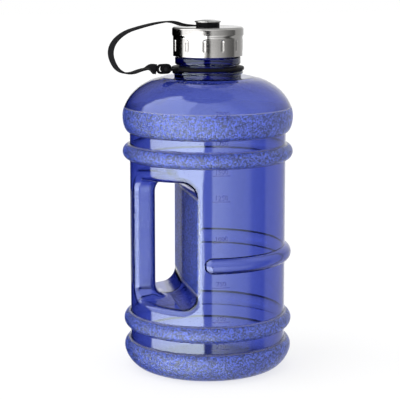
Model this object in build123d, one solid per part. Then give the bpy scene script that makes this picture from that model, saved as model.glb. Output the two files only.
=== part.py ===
from build123d import *

import math
import os

# A 2.2 litre water jug with a steel screw cap, a neck ring and a strap that ties the two together.
# Frame: +Z is up and the origin is the centre of the standing ring. The handle is on the -X side, the
# mould's parting plane is y = 0, and the side with the volume scale faces -Y. All sizes are millimetres.

# ---------------------------------------------------------------- driving dimensions
BODY_R = 62.0
WALL = 1.5

# bottom bulge: standing ring, widest place and the crease above it
RECESS_H = 5.0
RECESS_R = 44.0
RECESS_EDGE_H = 1.2
FOOT_INNER_R = 46.0
FOOT_R = 52.7
BASE_R = 67.0
BASE_WIDEST_Z = 16.8
BASE_TOP_Z = 23.5
BASE_ROUNDNESS = 1.67

# full hoops round the body: lower end, upper end and radius at the crest
LOWER_HOOP = (32.7, 45.5, 67.25)
UPPER_HOOP = (168.2, 180.8, 67.6)

# the rib that stops short of the handle on both sides
RIB_Z = 93.4
RIB_HALF_H = 6.45
RIB_CREST_R = 67.0
RIB_END_ANGLE = 96.0

# shoulder and dome
SHOULDER_LOW_Z = 189.8
SHOULDER_R = 67.5
SHOULDER_Z = 202.9
DOME_TOP_R = 32.0
DOME_TOP_Z = 233.3
DOME_ROUNDNESS = 1.83
CREASE_FILLET = 0.8

# hand opening, given where it meets the outside, and the grip bar in front of it
OPENING_WALL_X = -18.0
OPENING_LOW_Z = 57.0
OPENING_HIGH_Z = 157.0
OPENING_CORNER_R = 11.0
OPENING_DRAFT = 3.0
OPENING_EDGE_FILLET = 5.0
GRIP_INNER_X = -43.8
GRIP_HALF_W = 14.0
GRIP_CORNER_R = 5.0
GRIP_ROOT_R = 10.0

# neck, from the dome up: root, support flange, ring groove, stop flange, threaded finish, mouth
NECK_ROOT_R = 26.5
SUPPORT_FLANGE = (235.8, 238.3, 28.0)
GROOVE_R = 22.6
STOP_FLANGE = (243.0, 249.1, 25.9)
FINISH_R = 22.9
MOUTH_Z = 268.0
MOUTH_R = 20.6
SUPPORT_FLANGE_ROUND = 0.9
STOP_FLANGE_ROUND = 1.3
MOUTH_ROUND = 0.7

# screw thread, one start, right hand
PITCH = 5.0
THREAD_TURNS = 1.4
THREAD_DEPTH = 1.4
THREAD_ROOT_W = 2.6
THREAD_TIP_W = 1.2
THREAD_SINK = 0.4
NECK_THREAD_Z = 256.0
CAP_THREAD_Z = 253.5
THREAD_CLEARANCE = 0.35

# cap
CAP_LOW_Z = 249.8
CAP_TOP_Z = 272.4
CAP_R = 27.4
CAP_BEAD_R = 28.2
CAP_BEAD_LOW_Z = 264.6
CAP_BEAD_HIGH_Z = 266.4
CAP_EDGE_R = 2.0
CAP_BEAD_ROUND = 1.5
SHEET = 0.6
FLUTE_COUNT = 12
FLUTE_FIRST_ANGLE = -105.5
FLUTE_LOW_Z = 252.9
FLUTE_HIGH_Z = 263.8
FLUTE_W = 3.0
FLUTE_DEPTH = 0.6
LINER_R = 26.0
LINER_LOW_Z = 250.4
LINER_PLATE_Z = 269.9
LINER_EDGE_R = 1.6
PLUG_R = 19.8
PLUG_LOW_Z = 266.4
GASKET_H = 1.6
GASKET_INNER_R = 20.1
WASHER_POCKET_R = 7.0
WASHER_POCKET_Z = 270.45
WASHER_R = 6.2
WASHER_BORE_R = 2.52
RESTING_GAP = 0.1  # between parts that lie on each other and turn

# rivet that holds the strap's upper eye on the cap
RIVET_STEM_R = 2.5
RIVET_HEAD_R = 10.35
RIVET_HEAD_LOW_R = 9.9
RIVET_HEAD_LOW_Z = 275.7
RIVET_RIM_LOW_Z = 276.2
RIVET_RIM_HIGH_Z = 276.8
RIVET_TOP_Z = 277.9
RIVET_TAIL_R = 4.0
RIVET_TAIL_H = 0.45
RIVET_RIM_ROUND = 0.25
RUNNING_CLEARANCE = 0.08

# neck ring with its stud
RING_LOW_Z = 238.6
RING_HIGH_Z = 241.4
RING_R = 28.7
RING_BORE_R = 23.0
RING_ROUND = 1.1
STUD_R_FROM_AXIS = 39.3
STUD_Z = 240.8
STUD_PAD_R = 3.0
STUD_SHAFT_R = 1.5
STUD_HEAD_R = 2.6
STUD_HEAD_H = 1.4
STUD_ROUND = 0.9
PAD_H = 2.0
BLADE_H = 2.0

# strap: direction of the plane that it hangs in, section, and the route of its centre line
STRAP_ANGLE = 200.5
STRAP_W = 9.5
STRAP_T = 1.2
UPPER_EYE_R = 9.3
UPPER_EYE_H = 3.1
LOWER_EYE_L = 13.0
LOWER_EYE_H = 7.8
LOWER_EYE_T = 1.6
LOWER_EYE_BAR = 1.8
EYE_GAP = 0.2
# distance from the jug's axis along the strap's direction, and height
STRAP_ROUTE = [
    (9.3, 273.3),
    (21.0, 273.4),
    (32.5, 277.6),
    (46.0, 276.4),
    (60.0, 273.6),
    (73.0, 270.3),
    (83.0, 263.0),
    (86.0, 254.0),
    (82.0, 244.2),
    (76.0, 239.3),
    (68.0, 238.3),
    (59.5, 240.9),
    (52.5, 241.8),
    (46.0, 240.8),
]

CUT = 90.0  # reach of a cutting solid past the jug's surface


# ---------------------------------------------------------------- body of the jug
def rounded_run(centre, half_r, half_z, roundness, steps):
    """Points of a quarter superellipse, from its widest place to its level end."""
    power = 2 / roundness
    points = []
    for step in range(steps + 1):
        angle = math.pi / 2 * step / steps
        across = half_r * math.cos(angle) ** power if step < steps else 0.0
        along = half_z * math.sin(angle) ** power
        points.append((centre[0] + across, centre[1] + along))
    return points


def hoop_arc(low_z, high_z, crest_r, inset):
    """Circular bulge of a hoop, or the same arc moved inwards by the wall's thickness."""
    half_h, rise = (high_z - low_z) / 2, crest_r - BODY_R
    radius = (half_h**2 + rise**2) / (2 * rise)
    centre_r, middle = crest_r - radius, (low_z + high_z) / 2
    scale = (radius - inset) / radius
    end_r = centre_r + (BODY_R - centre_r) * scale
    end_h = half_h * scale
    return ThreePointArc((end_r, middle - end_h), (crest_r - inset, middle), (end_r, middle + end_h))


def crease_arc(z, start, end, inset):
    """Inside of the wall opposite an outward crease at height z."""
    crease = Vector(BODY_R, z)
    towards = (Vector(*start) - crease).normalized() + (Vector(*end) - crease).normalized()
    return ThreePointArc(start, crease + towards.normalized() * inset, end)


def body_outline(inset):
    """Half section of the body in XZ, closed along the axis: its outside, or its cavity if inset."""
    wall_r = BODY_R - inset
    recess = TangentArc((0, RECESS_H + inset), (RECESS_R, RECESS_EDGE_H + inset), tangent=(1, 0))
    foot = Polyline((RECESS_R, RECESS_EDGE_H + inset), (FOOT_INNER_R, inset), (FOOT_R, inset))
    base_low = rounded_run(
        (FOOT_R, BASE_WIDEST_Z), BASE_R - FOOT_R - inset, inset - BASE_WIDEST_Z, BASE_ROUNDNESS, 8
    )
    base_high = EllipticalCenterArc(
        (BODY_R, BASE_WIDEST_Z), BASE_R - BODY_R - inset, BASE_TOP_Z - BASE_WIDEST_Z - inset, arc_size=90
    )
    shoulder_h = SHOULDER_Z - SHOULDER_LOW_Z - inset
    shoulder = EllipticalCenterArc(
        (BODY_R, SHOULDER_Z), SHOULDER_R - BODY_R - inset, shoulder_h, 270, arc_size=90
    )
    dome = rounded_run(
        (DOME_TOP_R, SHOULDER_Z),
        SHOULDER_R - DOME_TOP_R - inset,
        DOME_TOP_Z - SHOULDER_Z - inset,
        DOME_ROUNDNESS,
        10,
    )
    bulges = [base_high, hoop_arc(*LOWER_HOOP, inset), hoop_arc(*UPPER_HOOP, inset), shoulder]
    straights = [
        (BASE_TOP_Z, LOWER_HOOP[0]),
        (LOWER_HOOP[1], UPPER_HOOP[0]),
        (UPPER_HOOP[1], SHOULDER_LOW_Z),
    ]
    lines = [recess, foot, Spline(*base_low, tangents=[(0, -1), (-1, 0)]), *bulges]
    for below, above, (low_z, high_z) in zip(bulges, bulges[1:], straights):
        lines.append(Line((wall_r, low_z), (wall_r, high_z)))
        if inset:
            lines.append(crease_arc(low_z, end_at(below, low_z), (wall_r, low_z), inset))
            lines.append(crease_arc(high_z, (wall_r, high_z), end_at(above, high_z), inset))
    lines.append(Spline(*dome, tangents=[(0, 1), (-1, 0)]))
    top_z = DOME_TOP_Z - inset
    lines.append(Polyline((DOME_TOP_R, top_z), (0, top_z), (0, RECESS_H + inset)))
    return make_face(lines)


def end_at(line, z):
    """The end of a line that is nearer to a height, as a pair of numbers."""
    end = min((line @ 0, line @ 1), key=lambda point: abs(point.Y - z))
    return (end.X, end.Y)


def creases(face):
    """The inward corners of the outside's outline, where a bulge meets the straight wall."""
    return [
        v
        for v in face.vertices()
        if abs(v.X - BODY_R) < 0.01 and BASE_TOP_Z - 1 < v.Y < SHOULDER_LOW_Z + 1
    ]


def turned(face):
    """Solid of revolution about Z of a section drawn in XZ."""
    return revolve(Plane.XZ * face, Axis.Z, 360)


def rib(inset):
    """Part hoop with half-ball ends: a circular section that sinks in the wall."""
    rise = RIB_CREST_R - BODY_R
    section_r = (RIB_HALF_H**2 + rise**2) / (2 * rise)
    radius = section_r - inset
    centre = Pos(RIB_CREST_R - section_r, RIB_Z)
    hoop = revolve(Plane.XZ * centre * Circle(radius), Axis.Z, 2 * RIB_END_ANGLE)
    hoop = Rot(0, 0, -RIB_END_ANGLE) * hoop
    upper_half = centre * (Circle(radius) & Pos(0, radius) * Rectangle(2 * radius, 2 * radius))
    radial_axis = Axis((0, 0, RIB_Z), (1, 0, 0))
    for side in (-1, 1):
        ball_end = revolve(Plane.XZ * upper_half, radial_axis, -side * 180)
        hoop += Rot(0, 0, side * RIB_END_ANGLE) * ball_end
    return hoop


def opening_section(grow):
    """The hand opening's outline in XZ, as if there were no grip, with its two round corners."""
    low, high = OPENING_LOW_Z - grow, OPENING_HIGH_Z + grow
    wall_x = OPENING_WALL_X + grow
    block = Pos((wall_x - CUT) / 2, (low + high) / 2) * Rectangle(wall_x + CUT, high - low)
    return fillet([v for v in block.vertices() if v.X > wall_x - 1], OPENING_CORNER_R)


def grip_bar(inset):
    """Upright bar that the hand opening leaves standing, open-ended towards -X."""
    inner_x = GRIP_INNER_X - inset
    half_w = GRIP_HALF_W - inset
    section = Pos((inner_x - 2 * CUT) / 2, 0) * Rectangle(2 * CUT + inner_x, 2 * half_w)
    section = fillet([v for v in section.vertices() if v.X > inner_x - 1], GRIP_CORNER_R - inset)
    return extrude(section, OPENING_HIGH_Z + CUT)


def opening(grow):
    """Everything that the hand opening takes away, widening from the parting plane outwards."""
    halves = []
    for side in (-1, 1):
        narrow = Plane.XZ * opening_section(grow - OPENING_DRAFT)
        wide = Plane.XZ.offset(side * BODY_R) * opening_section(grow)
        half = loft([narrow, wide], ruled=True) - grip_bar(grow)
        halves.append(fillet(grip_roots(half, grow), GRIP_ROOT_R + grow))
    return halves[0] + halves[1]


def grip_roots(half, grow):
    """Edges where the grip bar meets the roof and the floor of one half of the hand opening."""
    reach_x = GRIP_INNER_X - grow + 0.1
    reach_y = GRIP_HALF_W - grow + 0.1
    roots = []
    for edge in half.edges():
        box = edge.bounding_box()
        beside_bar = box.max.X < reach_x and max(abs(box.min.Y), abs(box.max.Y)) < reach_y
        upright = box.size.Z > OPENING_DRAFT
        on_end_face = box.max.X < 1 - CUT or max(abs(box.min.Y), abs(box.max.Y)) < 0.01
        if beside_bar and not upright and not on_end_face:
            roots.append(edge)
    return roots


def neck_section():
    """Outside of the neck with its two flanges, closed along the axis, in XZ."""
    low2, high2, flange2_r = SUPPORT_FLANGE
    low1, high1, flange1_r = STOP_FLANGE
    face = make_face(
        Polyline(
            (0, DOME_TOP_Z - WALL),
            (NECK_ROOT_R, DOME_TOP_Z - WALL),
            (NECK_ROOT_R, low2),
            (flange2_r, low2),
            (flange2_r, high2),
            (GROOVE_R, high2),
            (GROOVE_R, low1),
            (flange1_r, low1),
            (flange1_r, high1),
            (FINISH_R, high1),
            (FINISH_R, MOUTH_Z),
            (0, MOUTH_Z),
            close=True,
        )
    )
    face = fillet([v for v in face.vertices() if abs(v.X - flange2_r) < 0.01], SUPPORT_FLANGE_ROUND)
    face = fillet([v for v in face.vertices() if abs(v.X - flange1_r) < 0.01], STOP_FLANGE_ROUND)
    return fillet([v for v in face.vertices() if v.X > 1 and v.Y > MOUTH_Z - 0.01], MOUTH_ROUND)


def thread(root_r, tip_r, start_z):
    """One helical ridge from root_r to tip_r."""
    path = Helix(PITCH, PITCH * THREAD_TURNS, root_r, center=(0, 0, start_z))
    plane = Plane(path @ 0, x_dir=(1, 0, 0), z_dir=path % 0)
    reach = tip_r - root_r
    sink = -THREAD_SINK * math.copysign(1, reach)
    profile = make_face(
        Polyline(
            (sink, -THREAD_ROOT_W / 2),
            (reach, -THREAD_TIP_W / 2),
            (reach, THREAD_TIP_W / 2),
            (sink, THREAD_ROOT_W / 2),
            close=True,
        )
    )
    return sweep(plane * profile, path=path, is_frenet=True)


def round_opening(body, inset):
    """Rounds the edges where the hand opening breaks through the body's cylinder."""
    edges = []
    for edge in body.edges():
        point = edge @ 0.5
        in_height = OPENING_LOW_Z - inset - 1 < point.Z < OPENING_HIGH_Z + inset + 1
        on_cylinder = abs(math.hypot(point.X, point.Y) - BODY_R + inset) < 0.01
        if in_height and on_cylinder and point.X < OPENING_WALL_X + inset + 0.5:
            edges.append(edge)
    return fillet(edges, OPENING_EDGE_FILLET - inset)


def bottle():
    """One blow-moulded shell: body, ribs, hollow grip, neck and screw thread."""
    outline = body_outline(0)
    outside = turned(fillet(creases(outline), CREASE_FILLET)) + rib(0) - opening(0)
    outside = round_opening(outside, 0) + turned(neck_section())

    inside = round_opening(turned(body_outline(WALL)) + rib(WALL) - opening(WALL), WALL)
    mouth_h = MOUTH_Z - DOME_TOP_Z + 4 * WALL
    inside += Pos(0, 0, MOUTH_Z + WALL - mouth_h / 2) * Cylinder(MOUTH_R, mouth_h)
    return outside - inside + thread(FINISH_R, FINISH_R + THREAD_DEPTH, NECK_THREAD_Z)


# ---------------------------------------------------------------- cap
def flute(radius):
    """Upright sausage that presses one flute into the cap's wall."""
    centre_r = CAP_R - FLUTE_DEPTH + flute_radius()
    low = FLUTE_LOW_Z + flute_radius()
    high = FLUTE_HIGH_Z - flute_radius()
    middle = Pos(centre_r, 0, (low + high) / 2) * Cylinder(radius, high - low)
    return middle + Pos(centre_r, 0, low) * Sphere(radius) + Pos(centre_r, 0, high) * Sphere(radius)


def flute_radius():
    """Radius of the pressing tool, from the flute's width and depth."""
    return ((FLUTE_W / 2) ** 2 + FLUTE_DEPTH**2) / (2 * FLUTE_DEPTH)


def shell_section(inset):
    """Section of the cap's sheet-metal skin, closed along the axis, in XZ."""
    low = CAP_LOW_Z - inset
    top = CAP_TOP_Z - inset
    face = make_face(
        Polyline(
            (0, low),
            (CAP_R - inset, low),
            (CAP_R - inset, CAP_BEAD_LOW_Z),
            (CAP_BEAD_R - inset, CAP_BEAD_HIGH_Z),
            (CAP_BEAD_R - inset, top),
            (0, top),
            close=True,
        )
    )
    corner = [v for v in face.vertices() if v.X > 1 and v.Y > CAP_BEAD_HIGH_Z + 1]
    face = fillet(corner, CAP_EDGE_R - inset)
    bead = [v for v in face.vertices() if v.X > 1 and CAP_BEAD_LOW_Z - 0.1 < v.Y < CAP_BEAD_HIGH_Z + 0.1]
    return fillet(bead, CAP_BEAD_ROUND)


def cap_shell():
    """Pressed steel skin with its ring of flutes and the hole for the rivet."""
    skin = turned(shell_section(0)) - turned(shell_section(SHEET))
    band = Pos(0, 0, (FLUTE_LOW_Z + FLUTE_HIGH_Z) / 2) * (
        Cylinder(CAP_R - SHEET / 2, 2 * (FLUTE_HIGH_Z - FLUTE_LOW_Z))
        - Cylinder(LINER_R, 2 * (FLUTE_HIGH_Z - FLUTE_LOW_Z))
    )
    for n in range(FLUTE_COUNT):
        turn = Rot(0, 0, FLUTE_FIRST_ANGLE + n * 360 / FLUTE_COUNT)
        skin += turn * flute(flute_radius() + SHEET) & band
        skin -= turn * flute(flute_radius())
    return skin - Pos(0, 0, CAP_TOP_Z) * Cylinder(RIVET_STEM_R + RUNNING_CLEARANCE, 4)


def cap_liner():
    """Moulded liner: threaded skirt, top plate with a plug, and a pocket for the rivet's washer."""
    thread_r = FINISH_R + THREAD_DEPTH + THREAD_CLEARANCE
    inner_top = CAP_TOP_Z - SHEET
    skirt = make_face(
        Polyline(
            (thread_r, LINER_LOW_Z),
            (LINER_R, LINER_LOW_Z),
            (LINER_R, inner_top),
            (WASHER_POCKET_R, inner_top),
            (WASHER_POCKET_R, WASHER_POCKET_Z),
            (0, WASHER_POCKET_Z),
            (0, PLUG_LOW_Z),
            (PLUG_R, PLUG_LOW_Z),
            (PLUG_R, LINER_PLATE_Z),
            (thread_r, LINER_PLATE_Z),
            close=True,
        )
    )
    edge = [v for v in skirt.vertices() if v.X > LINER_R - 0.1 and v.Y > inner_top - 1]
    skirt = fillet(edge, LINER_EDGE_R)
    return turned(skirt) + thread(thread_r, thread_r - THREAD_DEPTH, CAP_THREAD_Z)


def cap_gasket():
    """Flat soft ring between the liner's plate and the mouth's rim."""
    outer_r = FINISH_R + THREAD_DEPTH
    ring = Cylinder(outer_r, GASKET_H) - Cylinder(GASKET_INNER_R, GASKET_H)
    return Pos(0, 0, LINER_PLATE_Z - GASKET_H / 2) * ring


def cap_rivet():
    """Domed rivet head, stem and the tail spread under the washer."""
    tail_z = WASHER_POCKET_Z + RESTING_GAP
    face = make_face(
        [
            Polyline(
                (0, tail_z),
                (RIVET_TAIL_R, tail_z),
                (RIVET_TAIL_R, tail_z + RIVET_TAIL_H),
                (RIVET_STEM_R, tail_z + RIVET_TAIL_H),
                (RIVET_STEM_R, RIVET_HEAD_LOW_Z),
                (RIVET_HEAD_LOW_R, RIVET_HEAD_LOW_Z),
                (RIVET_HEAD_R, RIVET_RIM_LOW_Z),
                (RIVET_HEAD_R, RIVET_RIM_HIGH_Z),
            ),
            TangentArc((0, RIVET_TOP_Z), (RIVET_HEAD_R, RIVET_RIM_HIGH_Z), tangent=(1, 0)),
            Line((0, RIVET_TOP_Z), (0, tail_z)),
        ]
    )
    rim = [v for v in face.vertices() if v.X > RIVET_HEAD_R - 0.1]
    return turned(fillet(rim, RIVET_RIM_ROUND))


def rivet_washer():
    """Steel washer between the cap's skin and the rivet's tail."""
    low = WASHER_POCKET_Z + RESTING_GAP + RIVET_TAIL_H
    high = CAP_TOP_Z - SHEET - RESTING_GAP
    ring = Cylinder(WASHER_R, high - low) - Cylinder(WASHER_BORE_R, high - low)
    return Pos(0, 0, (low + high) / 2) * ring


# ---------------------------------------------------------------- neck ring and strap
def hanging_plane():
    """Upright plane of the strap: X runs outwards from the jug's axis, Y runs up, Z to the side."""
    angle = math.radians(STRAP_ANGLE)
    outwards = (math.cos(angle), math.sin(angle), 0)
    sideways = (math.sin(angle), -math.cos(angle), 0)
    return Plane(origin=(0, 0, 0), x_dir=outwards, z_dir=sideways)


def disc(radius, low, high):
    """Disc on the stud's axis, between two distances from the hanging plane."""
    centre = Pos(STUD_R_FROM_AXIS, STUD_Z, (low + high) / 2)
    return hanging_plane() * centre * Cylinder(radius, high - low)


def pad_face():
    """Distance from the hanging plane to the face that the strap's eye lies against."""
    return -LOWER_EYE_T / 2 - EYE_GAP


def neck_ring():
    """Soft ring that sits loose between the two flanges, with a blade that ends in a round pad."""
    section = Pos((RING_BORE_R + RING_R) / 2, (RING_LOW_Z + RING_HIGH_Z) / 2) * Rectangle(
        RING_R - RING_BORE_R, RING_HIGH_Z - RING_LOW_Z
    )
    section = fillet([v for v in section.vertices() if v.X > RING_R - 0.1], RING_ROUND)
    blade_len = STUD_R_FROM_AXIS - RING_R + 2
    blade = Pos(STUD_R_FROM_AXIS - blade_len / 2, (RING_LOW_Z + RING_HIGH_Z) / 2, pad_face() - PAD_H / 2)
    blade = hanging_plane() * blade * Box(blade_len, BLADE_H, PAD_H)
    ring = turned(section) + blade + disc(STUD_PAD_R, pad_face() - PAD_H, pad_face())
    return ring - disc(STUD_SHAFT_R, pad_face() - PAD_H, pad_face())


def ring_stud():
    """Mushroom stud pressed through the pad, which buttons the strap's lower eye to the ring."""
    head_low = LOWER_EYE_T / 2 + EYE_GAP
    head = disc(STUD_HEAD_R, head_low, head_low + STUD_HEAD_H)
    head = fillet(outer_rim(head), STUD_ROUND)
    return head + disc(STUD_SHAFT_R, pad_face() - PAD_H, head_low)


def outer_rim(head):
    """The circular edge of a stud's head that is furthest from the hanging plane."""
    plane = hanging_plane()
    return [max(head.edges().filter_by(GeomType.CIRCLE), key=lambda e: e.center().dot(plane.z_dir))]


def strap_lower_eye():
    """Oval buttonhole end of the strap, standing upright over the stud."""
    outer = SlotOverall(LOWER_EYE_L, LOWER_EYE_H)
    hole = SlotOverall(LOWER_EYE_L - 2 * LOWER_EYE_BAR, LOWER_EYE_H - 2 * LOWER_EYE_BAR)
    return hanging_plane() * Pos(STUD_R_FROM_AXIS, STUD_Z, -LOWER_EYE_T / 2) * extrude(
        outer - hole, LOWER_EYE_T
    )


def strap_upper_eye():
    """Round end of the strap under the rivet's head."""
    z = CAP_TOP_Z + RESTING_GAP + UPPER_EYE_H / 2
    eye = Cylinder(UPPER_EYE_R, UPPER_EYE_H) - Cylinder(RIVET_STEM_R + RUNNING_CLEARANCE, UPPER_EYE_H)
    return Pos(0, 0, z) * eye


def bend_radii():
    """Largest tangent arc at each inner point of the strap's route."""
    radii = []
    for before, here, after in zip(STRAP_ROUTE, STRAP_ROUTE[1:], STRAP_ROUTE[2:]):
        run_in = Vector(*here) - Vector(*before)
        run_out = Vector(*after) - Vector(*here)
        half_turn = math.radians(run_in.get_angle(run_out)) / 2
        radii.append(0.45 * min(run_in.length, run_out.length) / math.tan(half_turn))
    return radii


def strap():
    """Flat band from the upper eye round to the lower eye, in the hanging plane."""
    plane = hanging_plane()
    path = plane * FilletPolyline(*STRAP_ROUTE, radius=bend_radii())
    start = Plane(origin=path @ 0, x_dir=plane.z_dir, z_dir=path % 0)
    band = sweep(start * Rectangle(STRAP_W, STRAP_T), path=path)
    print("strap length", round(path.length, 1), "radii", [round(r, 1) for r in bend_radii()])
    section_times_length = STRAP_W * STRAP_T * path.length
    print("strap volume over section times length", round(band.volume / section_times_length, 3))
    return band


PARTS = {
    "bottle": bottle,
    "cap_shell": cap_shell,
    "cap_liner": cap_liner,
    "cap_gasket": cap_gasket,
    "cap_rivet": cap_rivet,
    "rivet_washer": rivet_washer,
    "neck_ring": neck_ring,
    "ring_stud": ring_stud,
    "strap": strap,
    "strap_upper_eye": strap_upper_eye,
    "strap_lower_eye": strap_lower_eye,
}

os.makedirs("parts", exist_ok=True)
for name, make in PARTS.items():
    export_step(make(), os.path.join("parts", name + ".step"))
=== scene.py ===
import math

import bmesh
import bpy
from mathutils import Matrix, Vector
from mathutils.bvhtree import BVHTree


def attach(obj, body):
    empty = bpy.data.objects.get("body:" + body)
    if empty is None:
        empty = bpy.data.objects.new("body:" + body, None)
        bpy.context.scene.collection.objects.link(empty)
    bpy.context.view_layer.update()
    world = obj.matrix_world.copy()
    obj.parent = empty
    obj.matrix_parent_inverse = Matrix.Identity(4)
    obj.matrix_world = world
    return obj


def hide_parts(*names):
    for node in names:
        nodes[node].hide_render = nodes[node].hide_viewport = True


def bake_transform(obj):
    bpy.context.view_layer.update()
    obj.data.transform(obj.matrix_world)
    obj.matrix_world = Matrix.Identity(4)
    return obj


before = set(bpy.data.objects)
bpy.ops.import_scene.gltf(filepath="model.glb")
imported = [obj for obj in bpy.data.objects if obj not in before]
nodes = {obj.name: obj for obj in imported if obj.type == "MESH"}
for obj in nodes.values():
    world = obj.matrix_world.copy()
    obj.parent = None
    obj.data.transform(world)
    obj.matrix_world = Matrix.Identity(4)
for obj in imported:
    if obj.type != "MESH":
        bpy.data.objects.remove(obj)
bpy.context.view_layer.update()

# ---------------------------------------------------------------- camera
VIEW_TURN = math.radians(9.5)  # the camera looks along +Y turned this far towards +X
VIEW_DOWN = math.radians(9.91)
CAMERA_AT = (-0.19635, -1.13640, 0.33572)
LENS_MM = 131.6
SENSOR_MM = 36.0


def make_camera():
    data = bpy.data.cameras.new("camera")
    data.lens = LENS_MM
    data.sensor_width = SENSOR_MM
    data.clip_start, data.clip_end = 0.05, 50
    camera = bpy.data.objects.new("camera", data)
    camera.location = CAMERA_AT
    camera.rotation_euler = (math.pi / 2 - VIEW_DOWN, 0, -VIEW_TURN)
    bpy.context.scene.collection.objects.link(camera)
    bpy.context.scene.camera = camera


make_camera()

# ---------------------------------------------------------------- strap
# the strap's line from the rivet's eye round to the stud's eye: distance from the jug's axis, height
STRAP_ROUTE = [
    (0.0093, 0.2733),
    (0.0210, 0.2734),
    (0.0325, 0.2776),
    (0.0460, 0.2764),
    (0.0600, 0.2736),
    (0.0730, 0.2703),
    (0.0830, 0.2630),
    (0.0860, 0.2540),
    (0.0820, 0.2442),
    (0.0760, 0.2393),
    (0.0680, 0.2383),
    (0.0595, 0.2409),
    (0.0525, 0.2418),
    (0.0460, 0.2408),
]
STRAP_TURN = math.radians(200.5)  # direction of the strap's upright plane, from +X
STRAP_W = 0.0095
STRAP_END_W = 0.0078  # where it meets the lower eye
STRAP_T = 0.0012
TWIST_START, TWIST_END = 0.0095, 0.0010  # quarter turn, measured back from the lower end
BAND_ACROSS = 12  # faces across the band
LEAN_TURN = math.radians(7)  # how far the top run leans towards the front, between the two lengths
LEAN_START, LEAN_END = 0.008, 0.055
SELVEDGE_SHARE = 0.35  # of the band's thickness, left at its very edge

OUTWARDS = Vector((math.cos(STRAP_TURN), math.sin(STRAP_TURN), 0))
SIDEWAYS = Vector((math.sin(STRAP_TURN), -math.cos(STRAP_TURN), 0))


def route_points():
    """Points along the smooth curve that the route's points control."""
    curve = bpy.data.curves.new("strap_route", "CURVE")
    curve.dimensions = "3D"
    curve.resolution_u = 10
    spline = curve.splines.new("NURBS")
    spline.points.add(len(STRAP_ROUTE) - 1)
    for point, (out, z) in zip(spline.points, STRAP_ROUTE):
        point.co = (*(OUTWARDS * out + Vector((0, 0, z))), 1)
    spline.order_u = 3
    spline.use_endpoint_u = True
    holder = bpy.data.objects.new("strap_route", curve)
    mesh = bpy.data.meshes.new_from_object(holder)
    points = [v.co.copy() for v in mesh.vertices]
    bpy.data.objects.remove(holder)
    bpy.data.curves.remove(curve)
    bpy.data.meshes.remove(mesh)
    return points


def ease(value, low, high):
    t = min(max((value - low) / (high - low), 0.0), 1.0)
    return t * t * (3 - 2 * t)


def band_section(width):
    """Outline of woven webbing: flat faces with rounded selvedges, as (across, out) pairs."""
    outline = []
    half_t = STRAP_T / 2
    for side in (1, -1):
        for i in range(BAND_ACROSS + 1):
            across = side * width * (i / BAND_ACROSS - 0.5)
            edge = min(width / 2 - abs(across), half_t) / half_t
            share = SELVEDGE_SHARE + (1 - SELVEDGE_SHARE) * math.sqrt(edge * (2 - edge))
            outline.append((across, side * half_t * share))
    return outline


def band_mesh(points):
    """The band along these points; each vertex knows how far across and along it lies."""
    lengths = [0.0]
    for a, b in zip(points, points[1:]):
        lengths.append(lengths[-1] + (b - a).length)
    verts, across_values, along_values = [], [], []
    for i, point in enumerate(points):
        tangent = (points[min(i + 1, len(points) - 1)] - points[max(i - 1, 0)]).normalized()
        left = lengths[-1] - lengths[i]
        quarter = 1 - ease(left, TWIST_END, TWIST_START)
        lean = ease(lengths[i], 0, LEAN_START) * (1 - ease(lengths[i], LEAN_START, LEAN_END))
        spin = Matrix.Rotation(quarter * math.pi / 2 + lean * LEAN_TURN, 3, tangent)
        wide = spin @ SIDEWAYS
        out = wide.cross(tangent)
        width = STRAP_W + (STRAP_END_W - STRAP_W) * quarter
        for across, rise in band_section(width):
            verts.append(point + wide * across + out * rise)
            across_values.append(across)
            along_values.append(lengths[i])
    loop = 2 * (BAND_ACROSS + 1)
    faces = []
    for i in range(len(points) - 1):
        for j in range(loop):
            k = (j + 1) % loop
            faces.append((i * loop + j, i * loop + k, (i + 1) * loop + k, (i + 1) * loop + j))
    faces.append(tuple(reversed(range(loop))))
    faces.append(tuple(range((len(points) - 1) * loop, len(points) * loop)))
    mesh = bpy.data.meshes.new("strap_webbing")
    mesh.from_pydata(verts, [], faces)
    for name, values in (("across", across_values), ("along", along_values)):
        mesh.attributes.new(name, "FLOAT", "POINT").data.foreach_set("value", values)
    mesh.shade_smooth()
    made = bmesh.new()
    made.from_mesh(mesh)
    bmesh.ops.recalc_face_normals(made, faces=made.faces)
    made.to_mesh(mesh)
    made.free()
    return mesh


def make_strap():
    """Flat woven band that turns edge-up near its lower end, to meet the eye on the stud."""
    points = route_points()
    strap = bpy.data.objects.new("strap_webbing", band_mesh(points))
    bpy.context.scene.collection.objects.link(strap)
    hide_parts("strap")
    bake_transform(strap)
    strap.visible_glossy = False
    return strap


strap = make_strap()


# ---------------------------------------------------------------- volume marks
MARKS = (
    ("250", 0.0269),
    ("500", 0.0488),
    ("750", 0.0760),
    ("1000", 0.1112),
    ("1250", 0.1429),
    ("1500", 0.1629),
    ("1750", 0.1846),
    ("2000", 0.2072),
)
MARK_TURN = math.radians(-90)
MARK_LINE_W = 0.0136
MARK_LINE_H = 0.0007
MARK_DIGIT_H = 0.0036
MARK_GAP = 0.0009
MARK_LINE_STEPS = 10
MARK_RISE = 0.00035
MARK_SINK = 0.00025
WALL_R = 0.062
BEYOND = 0.1  # a distance from the axis that is outside the jug


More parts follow.
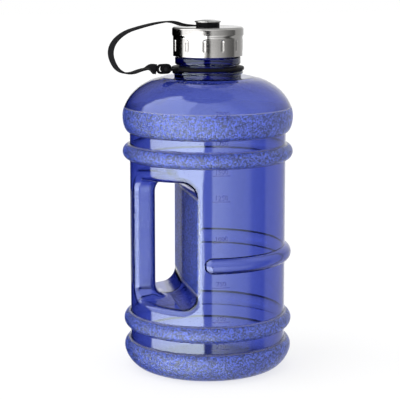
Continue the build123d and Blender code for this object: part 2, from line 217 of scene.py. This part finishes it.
def flat_mark(text):
    """A number over its line as flat faces, centred on X, with the line's foot at y 0."""
    curve = bpy.data.curves.new("digits", "FONT")
    curve.body = text
    curve.align_x = "CENTER"
    curve.resolution_u = 3
    holder = bpy.data.objects.new("digits", curve)
    digits = bpy.data.meshes.new_from_object(holder)
    flat = bmesh.new()
    flat.from_mesh(digits)
    bpy.data.objects.remove(holder)
    bpy.data.curves.remove(curve)
    bpy.data.meshes.remove(digits)
    tall = max(v.co.y for v in flat.verts)
    for v in flat.verts:
        v.co = v.co * (MARK_DIGIT_H / tall)
        v.co.y += MARK_LINE_H + MARK_GAP
    across = [MARK_LINE_W * (i / MARK_LINE_STEPS - 0.5) for i in range(MARK_LINE_STEPS + 1)]
    foot, head = [[flat.verts.new((x, y, 0)) for x in across] for y in (0, MARK_LINE_H)]
    for i in range(MARK_LINE_STEPS):
        flat.faces.new((foot[i], foot[i + 1], head[i + 1], head[i]))
    return flat


def raise_mark(made, flat, on_bottle):
    """Adds the flat mark to made as a solid, from just under the bottle's surface to just over it."""
    copies = {
        v: [made.verts.new(on_bottle(v.co, rise)) for rise in (-MARK_SINK, MARK_RISE)] for v in flat.verts
    }
    for face in flat.faces:
        made.faces.new([copies[v][1] for v in face.verts])
        made.faces.new([copies[v][0] for v in reversed(face.verts)])
    for edge in flat.edges:
        if edge.is_boundary:
            a, b = copies[edge.verts[0]], copies[edge.verts[1]]
            made.faces.new((a[0], b[0], b[1], a[1]))


def make_marks():
    """Raised volume lines and numbers, laid on the bottle's surface."""
    surface = BVHTree.FromObject(nodes["bottle"], bpy.context.evaluated_depsgraph_get())
    made = bmesh.new()
    for text, z in MARKS:

        def on_bottle(place, rise):
            turn = MARK_TURN + place.x / WALL_R
            out = Vector((math.cos(turn), math.sin(turn), 0))
            hit, normal, _, _ = surface.ray_cast(out * BEYOND + Vector((0, 0, z + place.y)), -out)
            return hit + normal * rise if normal.dot(out) > 0 else hit - normal * rise

        flat = flat_mark(text)
        raise_mark(made, flat, on_bottle)
        flat.free()
    bmesh.ops.recalc_face_normals(made, faces=made.faces)
    mesh = bpy.data.meshes.new("volume_marks")
    made.to_mesh(mesh)
    made.free()
    marks = bpy.data.objects.new("volume_marks", mesh)
    bpy.context.scene.collection.objects.link(marks)
    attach(marks, "jug")
    return marks


marks = make_marks()


# ---------------------------------------------------------------- node helpers
def new_material(name):
    """An empty node material with its output, as (material, tree, output)."""
    mat = bpy.data.materials.new(name)
    mat.use_nodes = True
    tree = mat.node_tree
    tree.nodes.clear()
    out = tree.nodes.new("ShaderNodeOutputMaterial")
    return mat, tree, out


def node(tree, kind, inputs=None, **settings):
    """Adds a node; inputs maps socket names or numbers to values or to output sockets."""
    made = tree.nodes.new(kind)
    for key, value in settings.items():
        setattr(made, key, value)
    for key, value in (inputs or {}).items():
        socket = made.inputs[key]
        if isinstance(value, bpy.types.NodeSocket):
            tree.links.new(value, socket)
        else:
            socket.default_value = value
    return made


def maths(tree, operation, a, b=None, c=None):
    inputs = {i: v for i, v in enumerate((a, b, c)) if v is not None}
    return node(tree, "ShaderNodeMath", inputs, operation=operation).outputs[0]


def smooth_step(tree, value, low, high):
    """0 below low, 1 above high, smooth between."""
    ranged = node(
        tree,
        "ShaderNodeMapRange",
        {"Value": value, "From Min": low, "From Max": high},
        interpolation_type="SMOOTHSTEP",
    )
    return ranged.outputs[0]


def mixed(tree, factor, a, b):
    return node(tree, "ShaderNodeMix", {"Factor": factor, "A": a, "B": b}, data_type="FLOAT").outputs[0]


def noise(tree, coords, scale, detail):
    settings = {"Vector": coords, "Scale": scale, "Detail": detail}
    return node(tree, "ShaderNodeTexNoise", settings).outputs["Fac"]


def ramp(tree, value, stops):
    """Colour ramp with grey or coloured stops, as [(position, grey or colour)]."""
    made = node(tree, "ShaderNodeValToRGB", {"Fac": value})
    elements = made.color_ramp.elements
    while len(elements) > 1:
        elements.remove(elements[-1])
    for i, (position, colour) in enumerate(stops):
        element = elements[0] if i == 0 else elements.new(position)
        element.position = position
        if isinstance(colour, (int, float)):
            colour = (colour, colour, colour)
        element.color = (*colour, 1)
    return made.outputs["Color"]


# ---------------------------------------------------------------- materials
def bumped(tree, height, distance, strength=1.0):
    settings = {"Strength": strength, "Distance": distance, "Height": height}
    return node(tree, "ShaderNodeBump", settings).outputs[0]


def principled(tree, out, inputs):
    shader = node(tree, "ShaderNodeBsdfPrincipled", inputs)
    tree.links.new(shader.outputs[0], out.inputs["Surface"])


def object_coords(tree):
    return node(tree, "ShaderNodeTexCoord").outputs["Object"]


def band_mask(tree, value, low, high, edge):
    """1 between low and high, with soft edges."""
    above = smooth_step(tree, value, low - edge, low + edge)
    below = smooth_step(tree, value, high + edge, high - edge)
    return maths(tree, "MULTIPLY", above, below)


def together(tree, operation, values):
    """All the values taken together by one operation."""
    total = values[0]
    for value in values[1:]:
        total = maths(tree, operation, total, value)
    return total


GRAIN_BANDS = ((-0.01, 0.0232), (0.0330, 0.0452), (0.1685, 0.1805), (0.1900, 0.2097))
BAND_EDGE = 0.0006
OPENING_Z = (0.0700, 0.1450)  # grained heights within the hand opening
OPENING_Z_EDGE = 0.002
OPENING_WALL_X = (-0.0235, -0.0130)
OPENING_WALL_Y = (0.0600, 0.0580)  # from the parting plane: the grain starts, and is full
GRIP_X = (-0.040, -0.042)
GRIP_Y = (0.0165, 0.0150)
GRIP_GRAIN_SHARE = 0.3
GRIP_MIDDLE_X = -0.055
WALL_FACES_FROM_X = 0.5  # the opening's wall faces away from here, towards the grip
INNER_SHARE = 0.35  # of the bumps, where the skin is seen from within


def grain_mask(tree, coords):
    """1 where the mould is grained: shoulder, hoops, bottom bulge, hand opening.

    Gives the mask of the bumps, which show from both sides of the skin, and that of the frost, on its
    outer side only.
    """
    x, y, z = node(tree, "ShaderNodeSeparateXYZ", {0: coords}).outputs
    y_off = maths(tree, "ABSOLUTE", y)
    tall = band_mask(tree, z, *OPENING_Z, OPENING_Z_EDGE)
    on_grip = smooth_step(tree, x, *GRIP_X)
    grip_y = smooth_step(tree, y_off, *GRIP_Y)
    grip = together(tree, "MULTIPLY", [on_grip, grip_y, tall, GRIP_GRAIN_SHARE])
    wall_x = band_mask(tree, x, *OPENING_WALL_X, BAND_EDGE)
    wall_y = smooth_step(tree, y_off, *OPENING_WALL_Y)
    wall = together(tree, "MULTIPLY", [wall_x, wall_y, tall])
    bands = [band_mask(tree, z, low, high, BAND_EDGE) for low, high in GRAIN_BANDS]
    grained = together(tree, "MAXIMUM", [*bands, wall])
    # the skin's normal, seen from either side, against the way out of the middle of each zone
    middle_x = maths(tree, "MULTIPLY", tall, mixed(tree, on_grip, WALL_FACES_FROM_X, GRIP_MIDDLE_X))
    away_x = maths(tree, "SUBTRACT", x, middle_x)
    away = node(tree, "ShaderNodeCombineXYZ", {0: away_x, 1: y, 2: 0.0}).outputs[0]
    geometry = node(tree, "ShaderNodeNewGeometry").outputs
    dotted = {0: away, 1: geometry["Normal"]}
    facing = node(tree, "ShaderNodeVectorMath", dotted, operation="DOT_PRODUCT").outputs["Value"]
    side = maths(tree, "MULTIPLY_ADD", geometry["Backfacing"], -2.0, 1.0)
    outside = maths(tree, "GREATER_THAN", maths(tree, "MULTIPLY", facing, side), 0.0)
    grained = maths(tree, "MULTIPLY", grained, outside)
    entered = maths(tree, "SUBTRACT", 1.0, geometry["Backfacing"])
    frosted = maths(tree, "MULTIPLY", grained, entered)
    grained = maths(tree, "MAXIMUM", grained, maths(tree, "MULTIPLY", grip, outside))
    shown = maths(tree, "MULTIPLY_ADD", entered, 1 - INNER_SHARE, INNER_SHARE)
    return maths(tree, "MULTIPLY", grained, shown), frosted


GRAIN_SCALE = 1000.0
FINE_GRAIN_SCALE = 1500.0
GRAIN_DEPTH = 0.00045
GRAIN_ROUGHNESS = 0.29
GRAIN_SHINE = 1.0  # specular level of the light that is scattered
GRAIN_FROST = 0.6  # share of the light that the grained skin scatters
# painted glints: the grained cells take random shades from dark to light, and the light cells are painted
# glints on the grain
GRAIN_DARK = (0.0, 0.004, 0.09)
GRAIN_LIGHT_GLINT = (0.1, 0.18, 0.95)
SPECKS_AND_GLINTS_FROM, SPECKS_AND_GLINTS_TO = 0.3, 0.75
CELL_SHARE = 0.65  # of the contrast of the specks and painted glints, with the rest from the fine grain
CELL_HEIGHT = 0.5  # the most that chance adds to a cell's dome, as a share of the dome's height
SMOOTH_ROUGHNESS = 0.03
WAVE_SCALE = 45.0
WAVE_HEIGHT = 0.05
PLASTIC_IOR = 1.57
GLEAM = (0.84, 0.95, 1.0)
BLUE = (0.085, 0.215, 0.74)
BLUE_DENSITY = 1000.0


def bottle_material():
    """Clear blue plastic, with faint waves where it is smooth and frosted cells where it is grained; the
    lighter cells are painted glints.
    """
    mat, tree, out = new_material("blue_clear_plastic")
    coords = object_coords(tree)
    grained, frosted = grain_mask(tree, coords)
    cells = node(tree, "ShaderNodeTexVoronoi", {"Vector": coords, "Scale": GRAIN_SCALE})
    domes = maths(tree, "SUBTRACT", 1.0, cells.outputs["Distance"])
    chance = node(tree, "ShaderNodeSeparateColor", {0: cells.outputs["Color"]}).outputs[0]
    grain = maths(tree, "MULTIPLY_ADD", chance, CELL_HEIGHT, domes)
    height = maths(tree, "MULTIPLY", grain, grained)
    waves = noise(tree, coords, WAVE_SCALE, 1.0)
    height = maths(tree, "MULTIPLY_ADD", waves, WAVE_HEIGHT, height)
    fine = maths(tree, "MULTIPLY", noise(tree, coords, FINE_GRAIN_SCALE, 2.0), 1 - CELL_SHARE)
    # painted glints: a random shade for each cell, whose lighter cells are painted glints
    speck_and_glint = maths(tree, "MULTIPLY_ADD", chance, CELL_SHARE, fine)
    specks_and_glints = ramp(tree, speck_and_glint, [(SPECKS_AND_GLINTS_FROM, GRAIN_DARK), (SPECKS_AND_GLINTS_TO, GRAIN_LIGHT_GLINT)])
    between = {"Factor": frosted, 6: (1, 1, 1, 1), 7: specks_and_glints}
    colour = node(tree, "ShaderNodeMix", between, data_type="RGBA").outputs[2]
    rougher = GRAIN_ROUGHNESS - SMOOTH_ROUGHNESS
    inputs = {
        "Base Color": colour,
        "Roughness": maths(tree, "MULTIPLY_ADD", frosted, rougher, SMOOTH_ROUGHNESS),
        "IOR": PLASTIC_IOR,
        "Specular IOR Level": GRAIN_SHINE,
        "Specular Tint": (*GLEAM, 1),
        "Transmission Weight": maths(tree, "MULTIPLY_ADD", frosted, -GRAIN_FROST, 1.0),
        "Normal": bumped(tree, height, GRAIN_DEPTH),
    }
    principled(tree, out, inputs)
    tint = node(tree, "ShaderNodeVolumeAbsorption", {"Color": (*BLUE, 1), "Density": BLUE_DENSITY})
    tree.links.new(tint.outputs[0], out.inputs["Volume"])
    return mat


MARKS_TINT = (0.28, 0.34, 0.75)
MARKS_GRAIN_SCALE = 900.0


def marks_material():
    """The same plastic where it is raised, a little darker and less even."""
    mat, tree, out = new_material("blue_raised_marks")
    uneven = noise(tree, object_coords(tree), MARKS_GRAIN_SCALE, 2.0)
    inputs = {
        "Base Color": (*MARKS_TINT, 1),
        "Roughness": maths(tree, "MULTIPLY_ADD", uneven, 0.1, 0.02),
        "IOR": PLASTIC_IOR,
        "Transmission Weight": 1.0,
    }
    principled(tree, out, inputs)
    return mat


LATHE_SCALE = 5200.0
LATHE_STRETCH = 0.0004
LATHE_DEPTH = 0.00003
PATCH_SCALE = 160.0
LATHE_SHARE = 0.35  # of the roughness, with the rest from the patches


def steel_material(name, colour, roughness_range, line_strength=0.3):
    """Turned and polished steel: fine lines round the axis, with some broad dull patches."""
    mat, tree, out = new_material(name)
    coords = object_coords(tree)
    x, y, z = node(tree, "ShaderNodeSeparateXYZ", {0: coords}).outputs
    turn = maths(tree, "ARCTAN2", y, x)
    radius = maths(tree, "SQRT", maths(tree, "MULTIPLY_ADD", x, x, maths(tree, "MULTIPLY", y, y)))
    turn = maths(tree, "MULTIPLY", turn, LATHE_STRETCH)
    round_axis = node(tree, "ShaderNodeCombineXYZ", {0: radius, 1: turn, 2: z}).outputs[0]
    lines = noise(tree, round_axis, LATHE_SCALE, 3.0)
    patches = maths(tree, "MULTIPLY", noise(tree, coords, PATCH_SCALE, 4.0), 1 - LATHE_SHARE)
    worn = maths(tree, "MULTIPLY_ADD", lines, LATHE_SHARE, patches)
    low, high = roughness_range
    ranges = {"Value": worn, "From Min": 0.3, "From Max": 0.7, "To Min": low, "To Max": high}
    inputs = {
        "Base Color": (*colour, 1),
        "Metallic": 1.0,
        "Roughness": node(tree, "ShaderNodeMapRange", ranges).outputs[0],
        "Normal": bumped(tree, lines, LATHE_DEPTH, line_strength),
    }
    principled(tree, out, inputs)
    return mat


BROADER = 12  # how many times broader the mottle is than the grain


def moulded_material(name, colour, roughness, grain, depth, mottle, shine=0.5):
    """Moulded rubber or plastic: matt grain and slight variation of its colour."""
    mat, tree, out = new_material(name)
    coords = object_coords(tree)
    fine = noise(tree, coords, grain, 4.0)
    broad = noise(tree, coords, grain / BROADER, 3.0)
    darker = tuple(c * (1 - mottle) for c in colour)
    lighter = tuple(min(c * (1 + mottle), 1) for c in colour)
    inputs = {
        "Base Color": ramp(tree, broad, [(0.3, darker), (0.7, lighter)]),
        "Roughness": maths(tree, "MULTIPLY_ADD", fine, 0.2, roughness - 0.1),
        "Specular IOR Level": shine,
        "Normal": bumped(tree, fine, depth, 0.5),
    }
    principled(tree, out, inputs)
    return mat


YARN_ACROSS = 0.00075
YARN_ALONG = 0.0011
YARN_DEPTH = 0.00015
# painted shade and light: the yarn's colour runs from the first of these, down in the grooves, to the
# second, on the ridges
YARN_GROOVE_SHADE = (0.002, 0.002, 0.002)
YARN_RIDGE_LIGHT = (0.018, 0.018, 0.021)
FUZZ_SCALE = 3500.0
FUZZ_HEIGHT = 0.6


def webbing_material():
    """Black nylon webbing: ridges of yarn crossed by slanted ones, with a little fuzz; its colour carries
    painted shade in the grooves and painted light on the ridges.
    """
    mat, tree, out = new_material("black_webbing")
    across = node(tree, "ShaderNodeAttribute", attribute_name="across").outputs["Fac"]
    along = node(tree, "ShaderNodeAttribute", attribute_name="along").outputs["Fac"]
    column = maths(tree, "MULTIPLY", across, 2 * math.pi / YARN_ACROSS)
    row = maths(tree, "MULTIPLY", along, 2 * math.pi / YARN_ALONG)
    ridge = maths(tree, "SINE", column)
    slant = maths(tree, "SINE", maths(tree, "MULTIPLY_ADD", ridge, 0.9, row))
    height = maths(tree, "MULTIPLY_ADD", ridge, 0.5, maths(tree, "MULTIPLY", slant, 0.5))
    fuzz = noise(tree, object_coords(tree), FUZZ_SCALE, 3.0)
    height = maths(tree, "MULTIPLY_ADD", fuzz, FUZZ_HEIGHT, height)
    # painted shade and light: the colour follows the weave's height, darker in the grooves and lighter on
    # the ridges, and the fuzz adds a random tone
    painted_light_and_fuzz = maths(tree, "MULTIPLY_ADD", height, 0.35, 0.4)
    inputs = {
        "Base Color": ramp(tree, painted_light_and_fuzz, [(0.0, YARN_GROOVE_SHADE), (1.0, YARN_RIDGE_LIGHT)]),
        "Roughness": 0.6,
        "Specular IOR Level": 0.05,
        "Normal": bumped(tree, height, YARN_DEPTH, 0.8),
    }
    principled(tree, out, inputs)
    return mat


def assign(pieces, mat):
    for piece in pieces:
        if not piece.material_slots:
            piece.data.materials.append(mat)
        for slot in piece.material_slots:
            slot.material = mat


SHELL_STEEL = (0.33, 0.323, 0.315)
RIVET_STEEL = (0.42, 0.42, 0.41)
RUBBER_BLACK = (0.007, 0.007, 0.008)
PLASTIC_BLACK = (0.014, 0.014, 0.016)
LINER_WHITE = (0.8, 0.8, 0.82)
GASKET_WHITE = (0.82, 0.82, 0.8)

assign([nodes["bottle"]], bottle_material())
assign([marks], marks_material())
assign([strap], webbing_material())
assign([nodes["cap_shell"]], steel_material("polished_steel", SHELL_STEEL, (0.1, 0.18)))
rivet_nodes = [nodes["cap_rivet"], nodes["rivet_washer"]]
assign(rivet_nodes, steel_material("rivet_steel", RIVET_STEEL, (0.12, 0.26)))
rubber_nodes = [nodes[name] for name in ("neck_ring", "strap_lower_eye", "strap_upper_eye")]
assign(rubber_nodes, moulded_material("black_rubber", RUBBER_BLACK, 0.42, 2600.0, 0.00006, 0.3, 0.04))
stud_plastic = moulded_material("black_plastic", PLASTIC_BLACK, 0.3, 1800.0, 0.00003, 0.25, 0.1)
assign([nodes["ring_stud"]], stud_plastic)
assign([nodes["cap_liner"]], moulded_material("liner_plastic", LINER_WHITE, 0.42, 900.0, 0.00003, 0.03))
assign([nodes["cap_gasket"]], moulded_material("gasket", GASKET_WHITE, 0.6, 1500.0, 0.00005, 0.05))


# ---------------------------------------------------------------- studio
FLOOR_GLOW = 0.7  # share of the floor's white that no shadow takes away
FLOOR_HALF = 6
FLOOR_Z = -0.0002


def make_floor():
    mesh = bpy.data.meshes.new("floor")
    corners = [(x * FLOOR_HALF, y * FLOOR_HALF, 0) for x, y in ((-1, -1), (1, -1), (1, 1), (-1, 1))]
    mesh.from_pydata(corners, [], [(0, 1, 2, 3)])
    floor = bpy.data.objects.new("floor", mesh)
    bpy.context.scene.collection.objects.link(floor)
    mat, tree, out = new_material("floor_white")
    shadowed = 1 - FLOOR_GLOW
    inputs = {
        "Base Color": (shadowed, shadowed, shadowed, 1),
        "Roughness": 0.9,
        "Specular IOR Level": 0.0,
        "Emission Color": (1, 1, 1, 1),
        "Emission Strength": FLOOR_GLOW,
    }
    principled(tree, out, inputs)
    mesh.materials.append(mat)
    floor.location.z = FLOOR_Z
    floor.visible_glossy = False


# brightness round the jug, by the angle in degrees from the camera's side, positive to the right,
# for reflections that look below the horizon, level, and well above it
LOW = (
    (-180, 1.0),
    (-168, 1.0),
    (-164, 0.0),
    (-94, 0.0),
    (-90, 6.0),
    (-60, 8.4),
    (-36, 9.4),
    (-7, 9.4),
    (-4, 0.3),
    (5, 0.3),
    (8, 3.2),
    (24, 2.5),
    (36, 1.8),
    (60, 1.2),
    (70, 0.25),
    (90, 0.1),
    (97, 0.8),
    (150, 0.7),
    (165, 1.0),
)
LEVEL = (
    (-180, 1.0),
    (-168, 1.0),
    (-164, 0.0),
    (-94, 0.0),
    (-88, 2.5),
    (-16, 2.6),
    (-12, 0.04),
    (8, 0.04),
    (10, 1.1),
    (60, 0.5),
    (92, 0.24),
    (95, 0.07),
    (100, 0.75),
    (150, 0.8),
    (165, 1.0),
)
HIGH = (
    (-180, 0.8),
    (-168, 0.8),
    (-164, 0.4),
    (-94, 0.4),
    (-90, 3.8),
    (-14, 3.4),
    (-9, 2.0),
    (40, 1.8),
    (80, 0.9),
    (100, 1.2),
    (165, 0.8),
)
BRIGHTEST = 10.0
LEAN = 0.052  # how far the pattern turns, in turns, at heights above the horizon
# where each change comes, as the upward part of the direction
LEAN_FROM, LEAN_TO = 0.0, 0.5
LEVEL_FROM, LEVEL_TO = -0.13, -0.08
HIGH_FROM, HIGH_TO = 0.1, 0.6
CEILING_FROM, CEILING_TO = 0.92, 0.95
DIM_BELOW, FULL_ABOVE = -0.9, -0.5
CEILING = 0.5
STRAIGHT_DOWN = 0.5  # share of the pattern's brightness left there
THROUGH_LEAST = 0.4  # the least that is seen through the plastic


def make_world():
    """White surroundings, with a bright soft box on the left and a dim one on the right."""
    world = bpy.data.worlds.new("studio")
    bpy.context.scene.world = world
    world.use_nodes = True
    tree = world.node_tree
    tree.nodes.clear()
    out = tree.nodes.new("ShaderNodeOutputWorld")
    coords = node(tree, "ShaderNodeTexCoord").outputs["Generated"]
    x, y, z = node(tree, "ShaderNodeSeparateXYZ", {0: coords}).outputs
    camera_turn = (math.radians(-90) - VIEW_TURN) / (2 * math.pi)
    turn = maths(tree, "DIVIDE", maths(tree, "ARCTAN2", y, x), 2 * math.pi)
    lean = maths(tree, "MULTIPLY", smooth_step(tree, z, LEAN_FROM, LEAN_TO), LEAN)
    turn = maths(tree, "ADD", maths(tree, "ADD", turn, 0.5 - camera_turn), lean)
    turn = maths(tree, "FRACT", turn)
    low, level, high = [
        ramp(tree, turn, [((angle + 180) / 360, value / BRIGHTEST) for angle, value in stops])
        for stops in (LOW, LEVEL, HIGH)
    ]
    pattern = mixed(tree, smooth_step(tree, z, LEVEL_FROM, LEVEL_TO), low, level)
    pattern = mixed(tree, smooth_step(tree, z, HIGH_FROM, HIGH_TO), pattern, high)
    above = smooth_step(tree, z, DIM_BELOW, FULL_ABOVE)
    dimmed = maths(tree, "MULTIPLY_ADD", above, 1 - STRAIGHT_DOWN, STRAIGHT_DOWN)
    pattern = maths(tree, "MULTIPLY", pattern, dimmed)
    pattern = maths(tree, "MULTIPLY", pattern, BRIGHTEST)
    pattern = mixed(tree, smooth_step(tree, z, CEILING_FROM, CEILING_TO), pattern, CEILING)
    rays = node(tree, "ShaderNodeLightPath").outputs
    through = maths(tree, "MAXIMUM", pattern, THROUGH_LEAST)
    pattern = mixed(tree, rays["Is Transmission Ray"], pattern, through)
    plain = maths(tree, "MAXIMUM", rays["Is Camera Ray"], rays["Is Diffuse Ray"])
    strength = mixed(tree, plain, pattern, 1.0)
    background = node(tree, "ShaderNodeBackground", {"Color": (1, 1, 1, 1), "Strength": strength})
    tree.links.new(background.outputs[0], out.inputs["Surface"])


make_floor()
make_world()
bpy.context.scene.view_settings.view_transform = "Standard"
